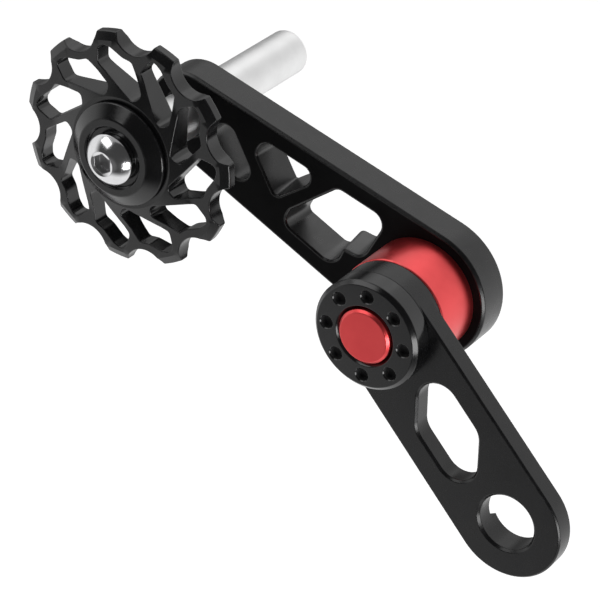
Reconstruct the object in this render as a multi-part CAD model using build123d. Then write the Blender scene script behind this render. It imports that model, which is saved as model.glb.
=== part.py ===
from build123d import *
import math
import os

# Sprung chain tensioner, in millimetres, with +Z up. Every axle lies along Y and the pulley
# side faces -Y. The origin is the middle of the hanger bore in the mounting link.

# Layout of the two arms, seen from the pulley side
link_reach = 40.0            # hanger bore to pivot
link_angle = 130.9           # way from the bore to the pivot, degrees from +X towards +Z
arm_reach = 54.0             # pivot to pulley axle
arm_angle = 156.9            # way from the pivot to the pulley axle
pulley_plane = -4.2          # Y of the middle of the teeth

# Clearances
seat_gap = 0.02              # between pieces fixed to each other
running_gap = 0.05           # radial, between a shaft and what turns or slides on it
face_gap = 0.1               # axial, between faces that turn past each other
cover_gap = 0.3              # between the turning pulley and its fixed dust covers
screw_gap = 0.15             # round a screw in a plain hole
cut_over = 1.0               # how far a cutter runs past the face it opens

# Mounting link
link_thickness = 4.0
link_bore_radius = 5.25      # for the hanger bolt
link_bore_chamfer = 0.45
link_bore_end = 10.45        # outer radius round the hanger bore
link_step = 0.15             # how much smaller the link's round end is than the barrel
link_boss = 0.55             # raised round the pivot at the back, under the barrel's rim
boss_lap = 0.2               # how far the boss reaches past the barrel
link_chamfer = 0.3
slot_from_pivot = 12.6       # where the slanted slot ends cross the link's middle line
slot_from_bore = 9.4
slot_half_width = 5.65
slot_slant = 42.0            # slant of the slot's ends to the middle line, degrees
slot_tip_radius = 4.0
slot_corner_radius = 4.0
slot_chamfer = 0.4
lug_height = 1.1             # stop lug behind the bore, which keeps the link from turning
lug_width = 2.85
lug_start = 206.0
lug_end = 335.0

# Main arm
arm_thickness = 7.0
arm_shoulder = 2.1           # how far the arm's round end reaches past the barrel
arm_pulley_end = 8.0         # outer radius round the pulley shaft
arm_chamfer = 0.45
arm_rail = 3.6               # width of the rails beside the cut-outs
shaft_wall = 2.0             # wall between the shaft bore and the first cut-out
seat_wall = 1.65             # how far the last cut-out stays off the barrel
cutout_chamfer = 0.25
first_slot_radius = 2.2
first_slot_rise = 1.3        # its upper end, over the arm's middle line
first_slot_fall = 2.6        # its lower end, under that line
second_depth = 9.2           # lowest corner of the second cut-out, under the upper rail
second_front = 3.5
second_back = 3.0
second_corner = 1.2
second_round = 1.6
second_top_front = 2.4       # its two corners under the upper rail
second_top_back = 1.9
third_front = 3.2            # corners of the third cut-out, under the arm's middle line
hook_height = 2.85           # hook that stands up from the lower rail
hook_root = 2.1
hook_corner = 0.6
third_tip = 1.4
third_corner = 2.0
third_round = 2.4
third_root = 2.8             # round both sides of the hook

# Spring barrel and pivot
barrel_radius = 10.35
barrel_length = 10.4         # link back to arm front
barrel_wall = 1.4
barrel_floor = 2.0
barrel_chamfer = 0.3
post_radius = 5.05           # post through the link
post_proud = 0.45            # how far the post stands out of the lock ring
post_bevel = 0.65
hub_step = 1.15              # shoulder between the post and the core that the spring sits round
bush_wall = 0.95
washer_thickness = 0.55

# Lock ring
ring_step = 0.13             # how much smaller the ring is than the barrel
ring_lip = 1.2               # wall round the recess that the front washer lies in
ring_thickness = 4.1
ring_chamfer = 0.7
ring_back_chamfer = 0.05
ring_countersink = 0.65
pin_holes = 8
pin_hole_radius = 1.15
pin_hole_depth = 0.8
pin_hole_chamfer = 0.25
pin_phase = 86.7

# Torsion spring of flat wire, which fills the room in the barrel up to these gaps
spring_side_gap = 0.475
spring_end_gap = 0.125
coil_gap = 0.1
spring_turns = 4.5
leg_radius = 0.6
leg_hole_radius = 0.8
leg_in_link = 2.0
leg_in_floor = 1.0

# Fastening of the barrel on the arm
barrel_screw_radius = 3.0
barrel_screw_head = 6.0
barrel_screw_depth = 7.4     # thread in the barrel's core
barrel_screw_hex = 4.0       # across flats
barrel_screw_hex_depth = 2.0
dowel_radius = 1.25
dowel_wall = 1.5             # wall between a dowel and the barrel's outside
dowel_in_barrel = 1.4
dowel_in_arm = 2.6

# Pulley wheel
teeth = 11
chain_pitch = 12.7
roller_radius = 3.875
roller_gap = 0.425           # how much rounder a tooth gap is than a roller
tooth_height = 3.04          # from the bottom of a tooth gap to the tips
tooth_phase = 99.43          # direction of the first tooth
tip_thickness = 1.6
rim_thickness = 3.2
tooth_bevel = 1.5            # radial width of the bevel at the tips
rim_inner_radius = 15.1      # where the flat rim turns into the coned spokes
hub_ring_radius = 10.4
hub_thickness = 5.2
rim_wall = 1.44              # least wall between a window and a tooth gap
window_shoulder = 2.5        # leading corner of a window, inside the bottom of the tooth gaps
window_peak = 1.2            # corner in the tooth, outside that circle
window_brow = 0.3
window_bend = 0.25
window_heel = 2.0            # corners at the hub ring, outside it
window_foot = 0.1
window_corner = 1.0
window_peak_corner = 1.3
window_brow_corner = 2.0
window_bend_corner = 3.0
window_foot_corner = 1.2

# Pulley bearing
bearing_width = 5.0
bearing_bore = 4.0
bearing_outer = 8.0
inner_ring_wall = 1.2
outer_ring_wall = 1.3
race_depth = 0.2             # how deep the balls sit in each ring
ball_count = 9
race_gap = 0.03
cage_width = 2.6
cage_gap = 0.3               # between the cage and each ring
seal_thickness = 0.4
seal_gap = 0.12

# Dust covers, pulley bolt and shaft
cover_radius = 9.6
cover_rim = 0.5
cover_bevel_depth = 1.7
cover_bevel_width = 2.4
cover_boss_inset = 0.1       # how much smaller the cover's foot is than the bearing's inner ring
recess_radius = 5.5
recess_depth = 0.7
recess_chamfer = 0.4
lock_washer_radius = 4.4
lock_washer_thickness = 1.2
bolt_radius = 2.5
bolt_length = 16.0
bolt_head_radius = 4.75
bolt_head_height = 2.5
bolt_head_edge = 0.45        # straight side under the dome
bolt_head_flat = 2.3         # radius of the flat on top
bolt_hex = 3.7
bolt_hex_depth = 1.7
shaft_step = 0.3             # shoulder of the shaft that the rear cover stands on
shaft_length = 44.7          # from the rear dust cover
shaft_chamfer = 0.5
journal_end_gap = 0.2
grub_radius = 2.5
grub_hex = 2.5
grub_hex_depth = 1.6
grub_sink = 0.5              # how far the screw sits below the arm's edge


def polar(radius, degrees):
    return (radius * math.cos(math.radians(degrees)), radius * math.sin(math.radians(degrees)))


# Radii that follow the barrel, the post or the bearing
link_pivot_end = barrel_radius - link_step
arm_pivot_end = barrel_radius + arm_shoulder
ring_radius = barrel_radius - ring_step
front_washer_radius = ring_radius - ring_lip - seat_gap
ring_bore = post_radius + seat_gap
pin_circle = (ring_bore + ring_countersink + ring_radius - ring_chamfer) / 2
hub_radius = post_radius + hub_step
cavity_radius = barrel_radius - barrel_wall
dowel_circle = barrel_radius - dowel_wall - dowel_radius
spring_radius = (hub_radius + cavity_radius) / 2
wire_width = cavity_radius - hub_radius - 2 * spring_side_gap
ball_room = bearing_outer - outer_ring_wall - bearing_bore - inner_ring_wall
ball_radius = ball_room / 2 + race_depth
cage_wall = ball_room - 2 * cage_gap
cover_boss = bearing_bore + inner_ring_wall - cover_boss_inset
shaft_radius = bearing_bore + shaft_step

# Places of the axles in X and Z
pivot_x, pivot_z = polar(link_reach, link_angle)
pulley_x = pivot_x + polar(arm_reach, arm_angle)[0]
pulley_z = pivot_z + polar(arm_reach, arm_angle)[1]
at_pivot = Pos(pivot_x, 0, pivot_z)
at_pulley = Pos(pulley_x, 0, pulley_z)
link_frame = Pos(pivot_x, pivot_z) * Rot(Z=link_angle + 180)
arm_frame = Pos(pulley_x, pulley_z) * Rot(Z=arm_angle + 180)

# Stations along Y, from the lock ring to the back of the arm
link_front = -link_thickness / 2
link_back = link_thickness / 2
boss_back = link_back + link_boss
washer_front = link_front - face_gap / 2 - washer_thickness
ring_back = link_front - face_gap / 2
ring_front = ring_back - ring_thickness
post_front = ring_front - post_proud
shoulder = boss_back + face_gap / 2 + washer_thickness
barrel_front = boss_back + face_gap
arm_front = link_back + barrel_length
arm_back = arm_front + arm_thickness
floor_front = arm_front - barrel_floor
spring_room = floor_front - boss_back - 2 * spring_end_gap
spring_pitch = (spring_room + coil_gap) / (spring_turns + 1)
wire_height = spring_pitch - coil_gap

# Stations along Y, through the pulley
bearing_front = pulley_plane - bearing_width / 2
bearing_back = pulley_plane + bearing_width / 2
cover_rim_reach = hub_thickness / 2 + cover_gap
cover_face_reach = cover_rim_reach + cover_rim + cover_bevel_depth
recess_floor = pulley_plane - cover_face_reach + recess_depth
head_seat = recess_floor - lock_washer_thickness
shaft_front = pulley_plane + cover_face_reach
shaft_back = shaft_front + shaft_length
ball_orbit = (bearing_bore + inner_ring_wall + bearing_outer - outer_ring_wall) / 2

# Tooth form for a roller chain
tooth_pitch = 360 / teeth
seat_radius = roller_radius + roller_gap
root_radius = chain_pitch / (2 * math.sin(math.radians(tooth_pitch / 2))) - roller_radius
tip_radius = root_radius + tooth_height


def slab(sketch, front, back):
    """A sketch drawn in X and Z, extruded from one Y station to the other."""
    return extrude(Plane.XZ.offset(-back) * sketch, amount=back - front)


def tube(outer, inner, front, back):
    return slab(Circle(outer) - Circle(inner), front, back)


def rod(radius, front, back):
    return slab(Circle(radius), front, back)


def turned(*profile):
    """A closed profile of (radius, y) points, revolved about the Y axis."""
    return revolve(make_face(Polyline(*profile, close=True)), axis=Axis.Y)


def rounded(*corners):
    """A closed outline through (x, z, corner radius) points."""
    points = [corner[:2] for corner in corners]
    radii = [corner[2] for corner in corners]
    return make_face(FilletPolyline(*points, radius=radii, close=True))


def strap(start, start_radius, end, end_radius):
    """Outline round two circles and the straight sides that touch both."""
    (start_x, start_z), (end_x, end_z) = start, end
    heading = math.degrees(math.atan2(end_z - start_z, end_x - start_x))
    lean = math.degrees(math.acos((start_radius - end_radius) / math.dist(start, end)))

    def on_start(degrees):
        x, z = polar(start_radius, heading + degrees)
        return (start_x + x, start_z + z)

    def on_end(degrees):
        x, z = polar(end_radius, heading + degrees)
        return (end_x + x, end_z + z)

    sides = [
        Line(on_start(lean), on_end(lean)),
        ThreePointArc(on_end(lean), on_end(0), on_end(-lean)),
        Line(on_end(-lean), on_start(-lean)),
        ThreePointArc(on_start(-lean), on_start(180), on_start(lean)),
    ]
    return make_face(Curve() + sides)


def hex_socket(across_flats, front, back):
    return slab(RegularPolygon(across_flats / 2, 6, major_radius=False), front, back)


def flat_rims(body):
    """Edges of the two flat faces of a plate that lies across Y."""
    faces = body.faces().filter_by(Axis.Y).sort_by(Axis.Y)
    return faces[0].edges() + faces[-1].edges()


def cutout_rims(body, front, back):
    """Edges of the through openings in a plate's two flat faces."""
    faces = body.faces().filter_by(Axis.Y)
    rims = ShapeList()
    for face in faces:
        if abs(face.center().Y - front) < face_gap or abs(face.center().Y - back) < face_gap:
            for wire in face.inner_wires():
                rims += wire.edges()
    return rims


def mount_link():
    outline = strap((0, 0), link_bore_end, (pivot_x, pivot_z), link_pivot_end)
    plate = slab(outline, link_front, link_back)
    plate = chamfer(flat_rims(plate), link_chamfer)
    boss = outline & Pos(pivot_x, pivot_z) * Circle(barrel_radius + boss_lap)
    plate += slab(boss, link_front, boss_back)

    # The slot's two ends slant across the link, so two of its corners are sharp and two blunt.
    lean = slot_half_width / math.tan(math.radians(slot_slant))
    slot_end = link_reach - slot_from_bore
    slot = rounded(
        (slot_from_pivot - lean, slot_half_width, slot_tip_radius),
        (slot_end - lean, slot_half_width, slot_corner_radius),
        (slot_end + lean, -slot_half_width, slot_tip_radius),
        (slot_from_pivot + lean, -slot_half_width, slot_corner_radius),
    )
    plate -= slab(link_frame * slot, link_front - cut_over, link_back + cut_over)
    plate = chamfer(cutout_rims(plate, link_front, link_back), slot_chamfer)

    plate -= rod(link_bore_radius, link_front - cut_over, link_back + cut_over)
    mouth = link_bore_radius + link_bore_chamfer
    for face, depth in ((link_front, link_bore_chamfer), (link_back, -link_bore_chamfer)):
        plate -= turned((0, face), (mouth, face), (link_bore_radius, face + depth), (0, face + depth))

    # The lug carries on the wall of the bore.
    lug_ring = Circle(link_bore_radius + lug_width) - Circle(link_bore_radius)
    far = 2 * link_bore_end
    middle = (lug_start + lug_end) / 2
    corners = [(0, 0), polar(far, lug_start), polar(2 * far, middle), polar(far, lug_end)]
    sector = make_face(Polyline(*corners, close=True))
    plate += slab(lug_ring & sector, link_back - link_bore_chamfer, link_back + lug_height)

    bush_seat = post_radius + running_gap + bush_wall + seat_gap
    bush_hole = rod(bush_seat, link_front - cut_over, boss_back + cut_over)
    leg_hole = rod(leg_hole_radius, link_back - leg_in_link - face_gap, boss_back + cut_over)
    return plate - at_pivot * bush_hole - at_pivot * Pos(spring_radius, 0, 0) * leg_hole


def pivot_bush():
    inner = post_radius + running_gap
    return at_pivot * tube(inner + bush_wall, inner, link_front, boss_back)


def front_thrust_washer():
    inner = post_radius + seat_gap
    return at_pivot * tube(front_washer_radius, inner, washer_front, washer_front + washer_thickness)


def rear_thrust_washer():
    return at_pivot * tube(hub_radius, post_radius + seat_gap, shoulder - washer_thickness, shoulder)


def lock_ring():
    bore = ring_bore
    mouth = bore + ring_countersink
    recess = front_washer_radius + seat_gap
    body = turned(
        (bore, ring_front + ring_countersink), (mouth, ring_front),
        (ring_radius - ring_chamfer, ring_front), (ring_radius, ring_front + ring_chamfer),
        (ring_radius, ring_back - ring_back_chamfer),
        (ring_radius - ring_back_chamfer, ring_back), (recess, ring_back),
        (recess, washer_front), (bore, washer_front),
    )
    hole = turned(
        (0, ring_front), (pin_hole_radius + pin_hole_chamfer, ring_front),
        (pin_hole_radius, ring_front + pin_hole_chamfer), (pin_hole_radius, ring_front + pin_hole_depth),
        (0, ring_front + pin_hole_depth),
    )
    for index in range(pin_holes):
        x, z = polar(pin_circle, pin_phase + index * 360 / pin_holes)
        body -= Pos(x, 0, z) * hole
    return at_pivot * body


def spring_barrel():
    cavity = cavity_radius
    body = turned(
        (0, post_front), (post_radius - post_bevel, post_front), (post_radius, ring_front),
        (post_radius, shoulder), (hub_radius, shoulder), (hub_radius, floor_front),
        (cavity, floor_front), (cavity, barrel_front), (barrel_radius - barrel_chamfer, barrel_front),
        (barrel_radius, barrel_front + barrel_chamfer), (barrel_radius, arm_front), (0, arm_front),
    )
    thread_end = arm_front - barrel_screw_depth - face_gap
    body -= rod(barrel_screw_radius + seat_gap, thread_end, arm_front + cut_over)
    leg_x, leg_z = polar(spring_radius, -360 * spring_turns)
    leg_hole = rod(leg_hole_radius, floor_front - cut_over, floor_front + leg_in_floor + face_gap)
    body -= Pos(leg_x, 0, leg_z) * leg_hole
    dowel_hole = rod(dowel_radius + seat_gap, arm_front - dowel_in_barrel, arm_front + cut_over)
    for z in (dowel_circle, -dowel_circle):
        body -= Pos(0, 0, z) * dowel_hole
    return at_pivot * body


def torsion_spring():
    # Wound right-handed along +Y, so that the arm winds it up as it turns by the right-hand rule.
    rise = spring_pitch * spring_turns
    first = (boss_back + floor_front - rise) / 2
    coil = Helix(spring_pitch, rise, spring_radius)
    section = Plane(coil @ 0, x_dir=(1, 0, 0), z_dir=coil % 0) * Rectangle(wire_width, wire_height)
    wire = Rot(X=-90) * sweep(section, path=coil, is_frenet=True)
    wire = Pos(0, first, 0) * wire
    last = first + rise
    link_leg = Pos(spring_radius, 0, 0) * rod(leg_radius, link_back - leg_in_link, first)
    end_x, end_z = polar(spring_radius, -360 * spring_turns)
    floor_leg = Pos(end_x, 0, end_z) * rod(leg_radius, last, floor_front + leg_in_floor)
    return at_pivot * (wire + link_leg + floor_leg)


def barrel_screw():
    neck = barrel_screw_head - barrel_screw_radius
    body = turned(
        (0, arm_back), (barrel_screw_head, arm_back), (barrel_screw_radius, arm_back - neck),
        (barrel_screw_radius, arm_front - barrel_screw_depth), (0, arm_front - barrel_screw_depth),
    )
    body -= hex_socket(barrel_screw_hex, arm_back - barrel_screw_hex_depth, arm_back + cut_over)
    return at_pivot * body


def dowel_pins():
    pin = rod(dowel_radius, arm_front - dowel_in_barrel, arm_front + dowel_in_arm)
    return [at_pivot * Pos(0, 0, z) * pin for z in (dowel_circle, -dowel_circle)]


def arm_cutouts():
    """The three cut-outs, drawn along the arm from the pulley shaft, with its upper side as +y."""
    start = shaft_radius + shaft_wall
    span = arm_reach - barrel_radius - seat_wall - start

    def along(share):
        return start + span * share

    def rail(share):
        taper = (arm_pivot_end - arm_pulley_end) * along(share) / arm_reach
        return arm_pulley_end + taper - arm_rail

    first = strap((along(0.069), first_slot_rise), first_slot_radius,
                  (along(0.201), -first_slot_fall), first_slot_radius)
    second = rounded(
        (along(0.25), rail(0.25), second_top_front), (along(0.58), rail(0.58), second_top_back),
        (along(0.565), rail(0.565) - second_back, second_round),
        (along(0.44), rail(0.44) - second_depth, second_corner),
        (along(0.258), rail(0.258) - second_front, second_corner),
    )
    third = rounded(
        (along(0.72), rail(0.72), third_corner), (along(1.017), rail(1.017), third_round),
        (along(0.985), -hook_root, third_root), (along(0.876), -hook_height, hook_corner),
        (along(0.875), -rail(0.875), third_root), (along(0.53), -rail(0.53), third_corner),
        (along(0.54), -third_front, third_tip),
    )
    return [arm_frame * outline for outline in (first, second, third)]


def main_arm():
    outline = strap((pivot_x, pivot_z), arm_pivot_end, (pulley_x, pulley_z), arm_pulley_end)
    plate = slab(outline, arm_front, arm_back)
    plate = chamfer(flat_rims(plate), arm_chamfer)
    for cutout in arm_cutouts():
        plate -= slab(cutout, arm_front - cut_over, arm_back + cut_over)
    plate = chamfer(cutout_rims(plate, arm_front, arm_back), cutout_chamfer)

    plate -= at_pulley * rod(shaft_radius + running_gap, arm_front - cut_over, arm_back + cut_over)
    plate -= grub_blank(grub_radius + seat_gap, shaft_radius, arm_pulley_end + cut_over)
    screw_hole = barrel_screw_radius + screw_gap
    neck = barrel_screw_head - barrel_screw_radius
    plate -= at_pivot * turned(
        (0, arm_front - cut_over), (screw_hole, arm_front - cut_over),
        (screw_hole, arm_back - neck + screw_gap), (barrel_screw_head, arm_back), (0, arm_back),
    )
    dowel_hole = rod(dowel_radius + seat_gap, arm_front - cut_over, arm_front + dowel_in_arm)
    for z in (dowel_circle, -dowel_circle):
        plate -= at_pivot * Pos(0, 0, z) * dowel_hole
    return plate


def grub_plane(distance):
    """Plane across the grub screw's axis, which runs from the shaft out of the arm's lower edge."""
    x, z = polar(1, arm_angle + 90)
    middle = (arm_front + arm_back) / 2
    start = (pulley_x + x * distance, middle, pulley_z + z * distance)
    return Plane(start, x_dir=(0, 1, 0), z_dir=(x, 0, z))


def grub_blank(radius, near, far):
    return extrude(grub_plane(near) * Circle(radius), amount=far - near)


def shaft_grub_screw():
    head = arm_pulley_end - grub_sink
    body = grub_blank(grub_radius, shaft_radius + face_gap, head)
    hexagon = RegularPolygon(grub_hex / 2, 6, major_radius=False)
    return body - extrude(grub_plane(head - grub_hex_depth) * hexagon, amount=grub_hex_depth + cut_over)


def pulley_shaft():
    journal = bearing_bore - seat_gap
    front = bearing_front + journal_end_gap
    body = turned(
        (0, front), (journal, front), (journal, shaft_front), (shaft_radius, shaft_front),
        (shaft_radius, shaft_back - shaft_chamfer), (shaft_radius - shaft_chamfer, shaft_back),
        (0, shaft_back),
    )
    thread = rod(bolt_radius + seat_gap, front - cut_over, head_seat + bolt_length + face_gap)
    return at_pulley * (body - thread)


def pulley_bolt():
    top = head_seat - bolt_head_height
    edge = head_seat - bolt_head_edge
    rise = bolt_head_height - bolt_head_edge
    bulge = ((bolt_head_radius + bolt_head_flat) / 2 + rise / 5, (edge + top) / 2 - rise / 5)
    outline = [
        Line((0, top), (bolt_head_flat, top)),
        ThreePointArc((bolt_head_flat, top), bulge, (bolt_head_radius, edge)),
        Polyline((bolt_head_radius, edge), (bolt_head_radius, head_seat), (bolt_radius, head_seat),
                 (bolt_radius, head_seat + bolt_length), (0, head_seat + bolt_length), (0, top)),
    ]
    body = revolve(make_face(Curve() + outline), axis=Axis.Y)
    return at_pulley * (body - hex_socket(bolt_hex, top - cut_over, top + bolt_hex_depth))


def bolt_lock_washer():
    return at_pulley * tube(lock_washer_radius, bolt_radius + screw_gap, head_seat, recess_floor)


def dust_cover(bore, side):
    """A dust cover before or behind the pulley, for side -1 or 1."""
    section = [
        (bore, bearing_width / 2), (cover_boss, bearing_width / 2), (cover_boss, cover_rim_reach),
        (cover_radius, cover_rim_reach), (cover_radius, cover_rim_reach + cover_rim),
        (cover_radius - cover_bevel_width, cover_face_reach), (bore, cover_face_reach),
    ]
    return turned(*[(radius, pulley_plane + side * reach) for radius, reach in section])


def front_dust_cover():
    body = dust_cover(bolt_radius + screw_gap, -1)
    face = pulley_plane - cover_face_reach
    recess = turned(
        (0, face), (recess_radius + recess_chamfer, face), (recess_radius, face + recess_chamfer),
        (recess_radius, recess_floor), (0, recess_floor),
    )
    return at_pulley * (body - recess)


def rear_dust_cover():
    return at_pulley * dust_cover(bearing_bore, 1)


def race():
    """Ring-shaped groove that the balls run in."""
    circle = Pos(ball_orbit, pulley_plane) * Circle(ball_radius + race_gap)
    return revolve(circle, axis=Axis.Y)


def bearing_inner_ring():
    body = tube(bearing_bore + inner_ring_wall, bearing_bore, bearing_front, bearing_back)
    return at_pulley * (body - race())


def bearing_outer_ring():
    body = tube(bearing_outer, bearing_outer - outer_ring_wall, bearing_front, bearing_back)
    return at_pulley * (body - race())


def bearing_seals():
    inner = bearing_bore + inner_ring_wall + seal_gap
    outer = bearing_outer - outer_ring_wall - seat_gap
    front = tube(outer, inner, bearing_front, bearing_front + seal_thickness)
    back = tube(outer, inner, bearing_back - seal_thickness, bearing_back)
    return [at_pulley * front, at_pulley * back]


def ball_places():
    return [polar(ball_orbit, (index + 0.5) * 360 / ball_count) for index in range(ball_count)]


def bearing_balls():
    return [at_pulley * Pos(x, pulley_plane, z) * Sphere(ball_radius) for x, z in ball_places()]


def bearing_cage():
    front = pulley_plane - cage_width / 2
    body = tube(ball_orbit + cage_wall / 2, ball_orbit - cage_wall / 2, front, front + cage_width)
    pocket = Circle(ball_radius + race_gap)
    for x, z in ball_places():
        outward = Plane((x, pulley_plane, z), z_dir=(x, 0, z))
        body -= extrude(outward * pocket, amount=cage_wall, both=True)
    return at_pulley * body


def pulley_window():
    """One slanted window that reaches from the hub ring into a tooth pointing along +y."""
    foot = hub_ring_radius
    wall = root_radius - rim_wall
    corners = [
        (root_radius - window_shoulder, 0.269, window_corner),
        (root_radius + window_peak, 0.144, window_peak_corner),
        (root_radius + window_brow, -0.076, window_brow_corner),
        (wall + window_bend, -0.309, window_bend_corner), (wall, -0.501, window_corner),
        (foot + window_heel, -0.929, window_corner), (foot + window_foot, -0.776, window_foot_corner),
    ]
    outline = []
    for radius, turn, corner in corners:
        x, z = polar(radius, 90 + turn * tooth_pitch)
        outline.append((x, z, corner))
    return rounded(*outline)


def pulley_wheel():
    half_hub, half_rim, half_tip = hub_thickness / 2, rim_thickness / 2, tip_thickness / 2
    section = [
        (bearing_outer + seat_gap, half_hub), (hub_ring_radius, half_hub), (rim_inner_radius, half_rim),
        (tip_radius - tooth_bevel, half_rim), (tip_radius, half_tip),
    ]
    front = [(radius, pulley_plane - half) for radius, half in section]
    back = [(radius, pulley_plane + half) for radius, half in reversed(section)]
    body = turned(*front, *back)
    cuts = Sketch()
    for index in range(teeth):
        cuts += Rot(Z=tooth_phase - 90 + index * tooth_pitch) * pulley_window()
        gap_x, gap_z = polar(root_radius + seat_radius, tooth_phase + (index + 0.5) * tooth_pitch)
        cuts += Pos(gap_x, gap_z) * Circle(seat_radius)
    reach = half_hub + cut_over
    return at_pulley * (body - slab(cuts, pulley_plane - reach, pulley_plane + reach))


nodes = {
    "mount_link": mount_link,
    "pivot_bush": pivot_bush,
    "front_thrust_washer": front_thrust_washer,
    "rear_thrust_washer": rear_thrust_washer,
    "lock_ring": lock_ring,
    "spring_barrel": spring_barrel,
    "torsion_spring": torsion_spring,
    "barrel_screw": barrel_screw,
    "dowel_pins": dowel_pins,
    "main_arm": main_arm,
    "shaft_grub_screw": shaft_grub_screw,
    "pulley_shaft": pulley_shaft,
    "pulley_bolt": pulley_bolt,
    "bolt_lock_washer": bolt_lock_washer,
    "front_dust_cover": front_dust_cover,
    "rear_dust_cover": rear_dust_cover,
    "bearing_inner_ring": bearing_inner_ring,
    "bearing_outer_ring": bearing_outer_ring,
    "bearing_seals": bearing_seals,
    "bearing_balls": bearing_balls,
    "bearing_cage": bearing_cage,
    "pulley_wheel": pulley_wheel,
}

os.makedirs("parts", exist_ok=True)
for name, build in nodes.items():
    solids = build()
    if isinstance(solids, list):
        solids = Compound(children=solids)
    export_step(solids, f"parts/{name}.step")
    print(name, "written")
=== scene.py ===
import math
import bmesh
import bpy
import numpy as np
from mathutils import Matrix, Vector
from mathutils.geometry import delaunay_2d_cdt


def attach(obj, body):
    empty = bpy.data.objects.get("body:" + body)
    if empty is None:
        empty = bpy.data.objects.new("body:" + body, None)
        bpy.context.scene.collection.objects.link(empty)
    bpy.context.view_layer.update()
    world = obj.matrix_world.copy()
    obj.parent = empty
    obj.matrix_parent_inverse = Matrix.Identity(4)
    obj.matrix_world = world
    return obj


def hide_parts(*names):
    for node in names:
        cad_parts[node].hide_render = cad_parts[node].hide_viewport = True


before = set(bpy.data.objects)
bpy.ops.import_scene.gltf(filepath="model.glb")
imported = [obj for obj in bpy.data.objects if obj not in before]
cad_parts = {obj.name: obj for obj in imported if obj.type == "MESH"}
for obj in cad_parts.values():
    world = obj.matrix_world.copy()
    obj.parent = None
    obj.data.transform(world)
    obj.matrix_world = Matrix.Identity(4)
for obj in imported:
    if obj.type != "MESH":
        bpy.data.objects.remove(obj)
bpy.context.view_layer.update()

print("frame loaded,", len(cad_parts), "nodes")

mm = 0.001
tiny = 1e-6
layout = {  # axle places, seen from the pulley side, in millimetres and degrees
    "linkReach": 40.0, "linkAngle": 130.9,
    "armReach": 54.0, "armAngle": 156.9,
    "pulleyPlane": -4.2,
}


def rays(angles):  # unit directions (cos, sin)
    return np.stack([np.cos(angles), np.sin(angles)], -1)


def polar(radius, degrees):
    return radius * rays(np.radians(degrees))


def upright(flat, depth):  # points (x, z) at depth y, as (x, y, z)
    return np.stack([flat[..., 0], np.broadcast_to(depth, flat.shape[:-1]), flat[..., 1]], -1)


pivot = polar(layout["linkReach"], layout["linkAngle"])
pulley = pivot + polar(layout["armReach"], layout["armAngle"])
origin = np.zeros(2)


# Loops: each row of a loop is an arc (centre x, centre z, radius, start, end, side), and straight
# runs join the arcs. Side is 1 where the open air lies outside the arc and -1 where it lies inside.

def circleLoop(centre, radius, side):
    return np.array([[centre[0], centre[1], radius, 0.0, 360.0, side]])


def strapLoop(start, startRadius, end, endRadius, side):  # two arcs and their common tangents
    way = end - start
    heading = np.degrees(np.arctan2(way[1], way[0]))
    lean = np.degrees(np.arccos((startRadius - endRadius) / np.hypot(*way)))
    return np.array([
        [*end, endRadius, heading - lean, heading + lean, side],
        [*start, startRadius, heading + lean, heading + 360 - lean, side],
    ])


def cornerLoop(corners):  # a hole's corners (x, z, radius), each turned into its tangent arc
    corners = np.asarray(corners, float)
    spot = corners[:, :2]
    radius = corners[:, 2]
    came = spot - np.roll(spot, 1, 0)
    goes = np.roll(spot, -1, 0) - spot
    came /= np.linalg.norm(came, axis=1)[:, None]
    goes /= np.linalg.norm(goes, axis=1)[:, None]
    turn = np.arctan2(came[:, 0] * goes[:, 1] - came[:, 1] * goes[:, 0], (came * goes).sum(1))
    sign = np.sign(turn)
    left = np.stack([-came[:, 1], came[:, 0]], 1)
    start = spot - came * (radius * np.tan(np.abs(turn) / 2))[:, None]
    centre = start + left * (radius * sign)[:, None]
    angle = np.degrees(np.arctan2(start[:, 1] - centre[:, 1], start[:, 0] - centre[:, 0]))
    return np.stack([*centre.T, radius, angle, angle + np.degrees(turn), -sign], 1)


def placeLoop(loop, spot, degrees):  # a loop turned about its own origin, then moved
    turn = np.radians(degrees)
    spin = np.array([[np.cos(turn), -np.sin(turn)], [np.sin(turn), np.cos(turn)]])
    placed = loop.copy()
    placed[:, :2] = loop[:, :2] @ spin.T + spot
    placed[:, 3:5] += degrees
    return placed


def walkLoop(loop, step=4.0, run=1.5, perRadius=12, least=3):
    # point = centre + radius * (cos, sin) along each arc, and even steps along the straight runs;
    # the second array holds the unit direction from the metal into the air
    points, airs = [], []
    for index, (x, z, radius, start, end, side) in enumerate(loop):
        full = abs(end - start) > 359.9
        count = max(int(abs(end - start) / step), least)
        if full:
            count = max(count, int(radius * perRadius))
        ray = rays(np.radians(np.linspace(start, end, count + 1)[:count if full else None]))
        points.append(np.array([x, z]) + radius * ray)
        airs.append(side * ray)
        if not full:
            following = loop[(index + 1) % len(loop)]
            last = points[-1][-1]
            way = following[:2] + polar(following[2], following[3]) - last
            share = np.linspace(0, 1, max(int(np.hypot(*way) / run), 1) + 1)[1:-1, None]
            points.append(last + share * way)
            airs.append(np.repeat(airs[-1][-1:], len(share), 0))
    points, airs = np.concatenate(points), np.concatenate(airs)
    keep = np.linalg.norm(np.roll(points, -1, 0) - points, axis=1) > 1e-5
    return points[keep], airs[keep]


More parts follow.
